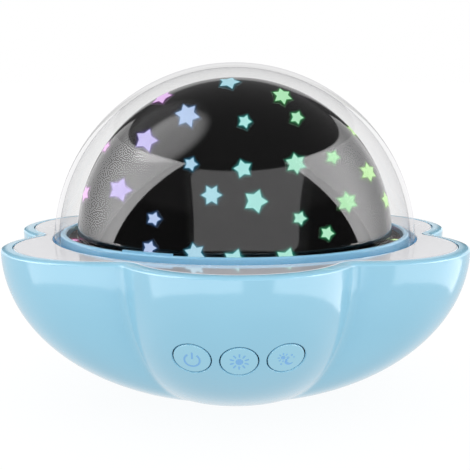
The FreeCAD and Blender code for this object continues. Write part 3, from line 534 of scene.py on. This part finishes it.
def star_windows():
    """Lit stars of the dome and of its flange."""
    work = bmesh.new()
    work.verts.layers.float.new("light")
    work.verts.layers.float_color.new("tint")
    for half_turn in (0, 180):
        for azimuth, latitude, kind in dome_stars:
            place = partial(on_dome, azimuth, latitude, half_turn)
            add_star(work, place, *star_kinds[kind], tint_at(azimuth), 1.0)
    whole = work.verts[:] + work.edges[:] + work.faces[:]
    cut = bmesh.ops.bisect_plane(
        work, geom=whole, plane_co=(0, 0, lit_foot * MM), plane_no=(0, 0, 1), clear_inner=True)
    open_edges = [piece for piece in cut["geom_cut"] if isinstance(piece, bmesh.types.BMEdge)]
    bmesh.ops.edgeloop_fill(work, edges=open_edges)
    for half_turn in (0, 180):
        for azimuth, points, tip, turn, colour in flange_stars:
            add_star(work, partial(on_flange, azimuth + half_turn), points, tip, turn + 90, colour, 0.35)
    bmesh.ops.recalc_face_normals(work, faces=work.faces)
    mesh = bpy.data.meshes.new("star_windows")
    work.to_mesh(mesh)
    work.free()
    add_piece("star_windows", mesh, lit_plastic(), "star_dome")
    mesh.materials.append(glowing_mask())


def revolved(name, outline, segments):
    """Closed mesh of an outline of radius and height turned round the upright axis."""
    work = bmesh.new()
    columns = []
    for index in range(segments):
        angle = 2 * math.pi * index / segments
        columns.append([
            work.verts.new(Vector((radius * math.cos(angle), radius * math.sin(angle), z)) * MM)
            for radius, z in outline])
    count = len(outline)
    for index, column in enumerate(columns):
        beside = columns[(index + 1) % segments]
        for low in range(count):
            high = (low + 1) % count
            work.faces.new((column[low], beside[low], beside[high], column[high]))
    bmesh.ops.remove_doubles(work, verts=work.verts, dist=1e-7)
    bmesh.ops.recalc_face_normals(work, faces=work.faces)
    mesh = bpy.data.meshes.new(name)
    work.to_mesh(mesh)
    work.free()
    return mesh


def dome_skin(gloss):
    """Gloss skin of the star dome and the matt top of its flange."""
    outline = []
    for lift, order in ((skin_top, 1), (skin_floor, -1)):
        radius = star_outer + lift
        foot = math.asin((flange_top + skin_floor - star_centre) / radius)
        rise_step = (math.pi / 2 - foot) / skin_steps
        rises = [foot + rise_step * step for step in range(skin_steps + 1)][::order]
        outline += [(radius * math.cos(rise), star_centre + radius * math.sin(rise)) for rise in rises]
    skin = revolved("dome_skin", outline, skin_segments)
    skin.shade_smooth()
    add_piece("dome_skin", skin, gloss, "star_dome")
    inside, outside = star_outer + band_margin, 2 * flange_middle - star_outer - band_margin
    low, high = flange_top + skin_floor, flange_top + lit_floor + 0.01
    section = [(inside, low), (outside, low), (outside, high), (inside, high)]
    band = revolved("flange_top", section, skin_segments)
    add_piece("flange_top", band, flange_plastic(), "star_dome")


def wall_point(x, z, lift=0.0):
    """Point of the front petal's outer wall at a width and height, moved outwards by lift."""
    depth = plate_level - z
    share = math.sqrt(1 - (depth / bowl_drop) ** 2)
    offset = petal_offset * share ** petal_fade
    radius = half_width * share - offset * math.cos(math.radians(30))
    angle = math.asin(x / radius)
    reach = radius + lift
    return Vector((reach * math.sin(angle), -offset - reach * math.cos(angle), z)) * MM


def symbol_mesh(name, outlines, column, lift):
    """Thin printed shapes on a button, given as closed outlines in the button's own plane."""
    work = bmesh.new()
    z_centre = plate_level - button_depth
    for outline in outlines:
        tops = [work.verts.new(wall_point(column + x, z_centre + y, lift)) for x, y in outline]
        floors = [work.verts.new(wall_point(column + x, z_centre + y, -0.15)) for x, y in outline]
        top = work.faces.new(tops)
        bottom = work.faces.new(list(reversed(floors)))
        count = len(outline)
        for index in range(count):
            after = (index + 1) % count
            work.faces.new((tops[index], floors[index], floors[after], tops[after]))
        bmesh.ops.triangulate(work, faces=[top, bottom])
    bmesh.ops.recalc_face_normals(work, faces=work.faces)
    mesh = bpy.data.meshes.new(name)
    work.to_mesh(mesh)
    work.free()
    return mesh


def circle_outline(x, y, radius, count=24):
    """Closed round outline."""
    angles = [2 * math.pi * index / count for index in range(count)]
    return [(x + radius * math.cos(a), y + radius * math.sin(a)) for a in angles]


def bar_outline(x, y, angle, start, end, width):
    """Bar that runs out from a point, with rounded ends."""
    a = math.radians(angle)
    along, across = Vector((math.cos(a), math.sin(a))), Vector((-math.sin(a), math.cos(a)))
    points = []
    for base, sign in ((end, 1), (start, -1)):
        for step in range(7):
            turn = math.pi / 2 - math.pi * step / 6
            swing = along * math.cos(turn) + across * math.sin(turn)
            offset = swing * (width / 2 * sign)
            point = Vector((x, y)) + along * base + offset
            points.append((point.x, point.y))
    return points


def arc_outline(x, y, radius, width, start, end, count=28):
    """Band along a circle between two angles."""
    outer = []
    inner = []
    for index in range(count + 1):
        a = math.radians(start + (end - start) * index / count)
        outer.append((x + (radius + width / 2) * math.cos(a), y + (radius + width / 2) * math.sin(a)))
        inner.append((x + (radius - width / 2) * math.cos(a), y + (radius - width / 2) * math.sin(a)))
    return outer + inner[::-1]


def sun_outlines(x, y, radius, ray_start, ray_end, rays, width):
    """Sun: a disc and short rays."""
    shapes = [circle_outline(x, y, radius)]
    for index in range(rays):
        shapes.append(bar_outline(x, y, index * 360 / rays + 90, ray_start, ray_end, width))
    return shapes


def moon_outline(x, y, radius, turn):
    """Crescent moon."""
    points = []
    for index in range(21):
        a = math.radians(turn + 50 + 260 * index / 20)
        points.append((x + radius * math.cos(a), y + radius * math.sin(a)))
    back = []
    bite = Vector((math.cos(math.radians(turn)), math.sin(math.radians(turn)))) * radius * 0.45
    first, last = Vector(points[0]), Vector(points[-1])
    centre = Vector((x, y)) + bite
    start = math.atan2(last.y - centre.y, last.x - centre.x)
    end = math.atan2(first.y - centre.y, first.x - centre.x)
    if end > start:
        end -= 2 * math.pi
    reach = (first - centre).length
    for index in range(1, 16):
        a = start + (end - start) * index / 16
        back.append((centre.x + reach * math.cos(a), centre.y + reach * math.sin(a)))
    return points + back


def button_symbols():
    """Printed symbols of the three buttons."""
    ink = plastic("symbol_ink", linear(126, 186, 238), 0.3, 0.04)
    power = [arc_outline(0, -0.15, 2.15, 0.5, 125, 415), bar_outline(0, 0, 90, 0.5, 2.3, 0.5)]
    bright = sun_outlines(0, 0, 1.05, 1.75, 2.55, 10, 0.42)
    mode = sun_outlines(-0.85, 0.75, 0.62, 1.05, 1.5, 8, 0.3)
    mode.append(moon_outline(0.85, -0.8, 1.25, 30))
    for x, y, radius in ((1.55, 1.35, 0.3), (2.2, 0.55, 0.22), (-1.35, -1.55, 0.26)):
        mode.append(circle_outline(x, y, radius))
    for body, column, shapes in (
        ("power_key", -button_spacing, power),
        ("brightness_key", 0.0, bright),
        ("mode_key", button_spacing, mode),
    ):
        name = body.replace("_key", "_symbol")
        add_piece(name, symbol_mesh(name, shapes, column, 0.03), ink, body)


place_camera()
light_world()
lay_floor()

blue = plastic("gloss_blue", linear(152, 208, 232), 0.14, 0.02, bump=0.03, coat=0.3)
button_blue = plastic("button_blue", linear(158, 214, 236), 0.16, 0.02, bump=0.03, coat=0.3)
white = plastic("gloss_white", linear(230, 231, 236), 0.12, 0.015, bump=0.02, coat=1.0)
ring = plastic("ring_blue", linear(150, 212, 246), 0.2, 0.02, bump=0.03)
milky = plastic("milky_plastic", linear(226, 228, 232), 0.4, 0.03)
natural = plastic("gear_plastic", linear(232, 230, 220), 0.38, 0.04)
inner = plastic("inner_plastic", linear(206, 208, 210), 0.45, 0.04)
dark = plastic("switch_black", linear(30, 30, 32), 0.4, 0.1)
foil = plastic("cell_foil", linear(190, 192, 198), 0.28, 0.05, settings={"Metallic": 0.8})
rubber = plastic("rubber", linear(150, 152, 156), 0.75, 0.06, bump=0.1)
lamp = plastic("lamp_yellow", linear(238, 220, 120), 0.3, 0.05)
steel = metal("steel", (0.62, 0.62, 0.64), 0.3)
can = metal("motor_can", (0.5, 0.51, 0.53), 0.35)

dress(blue, ["lower_housing"])
dress(button_blue, ["power_button", "brightness_button", "mode_button"])
dress(white, ["top_cover"])
dress(ring, ["dome_ring"])
black = mask_plastic()
dress(black, ["star_mask"])
dress(milky, ["diffuser_dome"])
dress(clear_plastic(), ["clear_dome"])
dress(natural, ["turntable", "drive_pinion", "glide_ring"])
dress(inner, ["chassis", "lamp_column", "battery_tray"])
dress(steel, ["motor_shaft", "usb_socket"])
dress(steel, ["motor_screws", "button_board_screws", "board_screws", "ring_screws"])
dress(can, ["gear_motor", "motor_bracket"])
dress(circuit_board(), ["lamp_board", "button_board", "main_board", "usb_board"])
dress(dark, ["tact_switches", "board_parts", "power_plunger", "brightness_plunger", "mode_plunger"])
dress(foil, ["battery_cell"])
dress(lamp, ["led_lamps"])
dress(rubber, ["rubber_feet"])

dome_skin(black)
star_windows()
button_symbols()

bpy.context.scene.view_settings.view_transform = "Standard"
